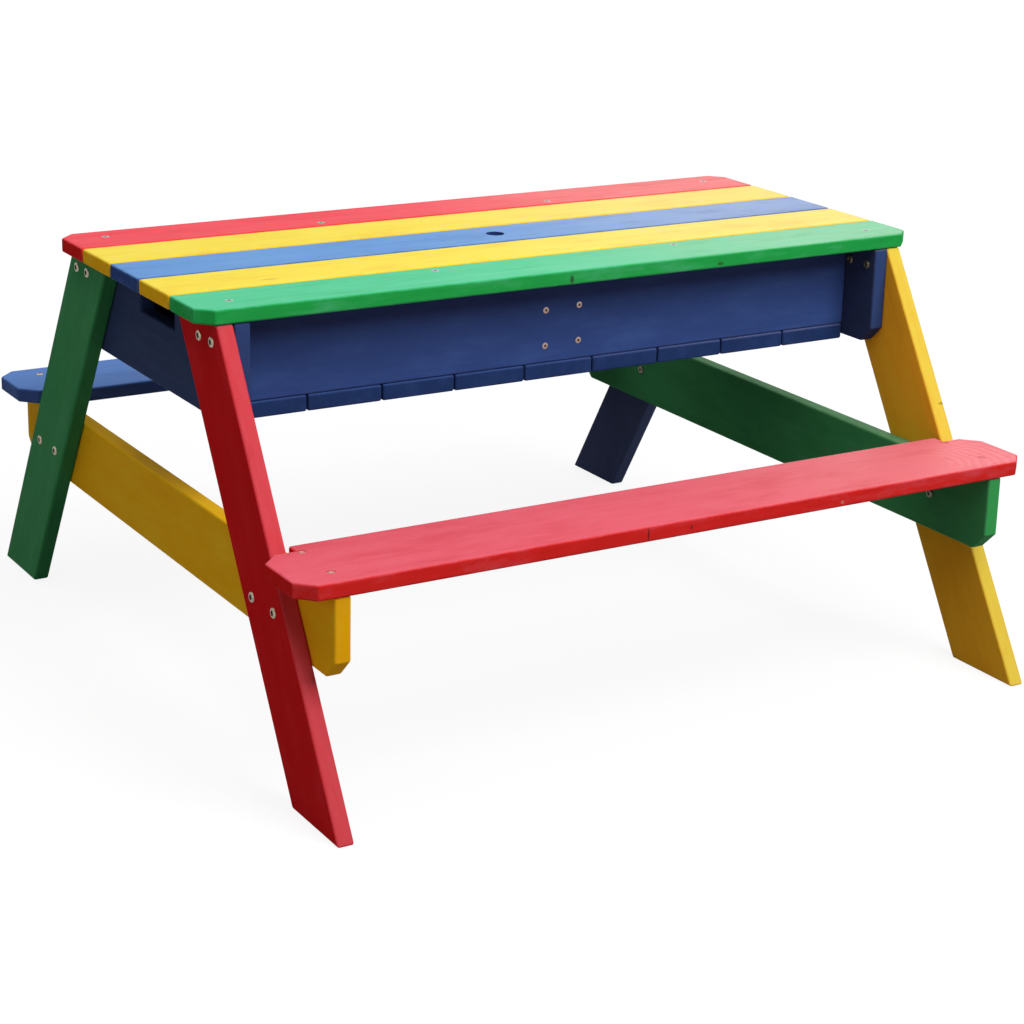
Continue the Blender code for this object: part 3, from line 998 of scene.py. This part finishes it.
def small_unit(outline, lay_bottom, reach):
    return sink_drive(turned_shape(outline, steps=16), lay_bottom, reach, small_depth)


wide_screw = small_unit(wide_outline, cross_bottom, wide_cross_reach)
cross_screw = small_unit(small_outline, cross_bottom, small_cross_reach)
socket_screw = small_unit(small_outline, hexagon_bottom, small_socket_reach)
print("faces:", [len(unit.polygons) for unit in (wide_screw, cross_screw, socket_screw)])

# %% [markdown]
# ## Where the small screws go
# A screw sits over the middle of the board that it goes into, so most places follow
# from the boxes of the boards and stay right if the boards change. The fixed planks
# have screws over the end boards and over the side panels, and the side panels have two
# columns of two for the dividers, which sit a little to the right of the middle.

# %% Find the places
panel_low, panel_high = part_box("side_panel_front")
end_low, end_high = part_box("end_board_right")
divider_low, divider_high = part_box("divider_right")
panel_middle = (panel_low.y + panel_high.y) / 2
end_middle = (end_low.x + end_high.x) / 2
divider_middle = (divider_low.x + divider_high.x) / 2
end_reach = 0.184
panel_reach = 0.171
aside = 0.003
askew = 0.001
divider_heights = (0.46, 0.4152)
slat_inset = 0.02
batten_reaches = (0.025, 0.065, 0.11)
DOWN = (0, 0, -1)
corners = [(x, y) for x in (-1, 1) for y in (-1, 1)]
plank_places = [((x * end_middle, y * end_reach, cad_high.z), UPRIGHT) for x, y in corners]
plank_places += [((x * panel_reach, y * panel_middle, cad_high.z), UPRIGHT) for x, y in corners]
divider_places = [
    ((x * divider_middle + aside, -y * panel_low.y, height + x * askew), (0, y, 0))
    for x, y in corners for height in divider_heights
]
slat_places = []
for number in range(1, slat_count + 1):
    low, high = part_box(f"floor_slat_{number}")
    for x in (low.x + slat_inset, high.x - slat_inset):
        slat_places += [((x, y * panel_middle, low.z), DOWN) for y in (-1, 1)]
batten_places = []
for number in range(1, batten_count + 1):
    low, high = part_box(f"lid_batten_{number}")
    for reach in batten_reaches:
        batten_places += [(((low.x + high.x) / 2, y * reach, low.z), DOWN) for y in (-1, 1)]
print("places:", len(plank_places + divider_places + slat_places + batten_places))

# %% [markdown]
# ## Set the small screws
# Each kind becomes one piece. The battens' screws ride on the lid and the others on the
# table.

# %% Set them
small_screws = (
    ("plank_screws", wide_screw, plank_places, (bright_zinc, dark_recess), "table"),
    ("divider_screws", socket_screw, divider_places, (pale_brass, dark_red_recess), "table"),
    ("slat_screws", cross_screw, slat_places, (plated, dark_recess), "table"),
    ("batten_screws", cross_screw, batten_places, (plated, dark_recess), "lid"),
)
for name, unit, places, pair, body in small_screws:
    keep_piece(name, unit, places, pair, body)
    print(name, len(places))

# %% [markdown]
# ## Keep the sizes
# The looks must not grow the table. Looking is not enough to tell, so the growth of
# the box is printed.

# %% Print the growth
seen_low, seen_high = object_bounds()
growth = (seen_high - seen_low) - (cad_high - cad_low)
print("grown by", [round(side, 5) for side in growth], "m")
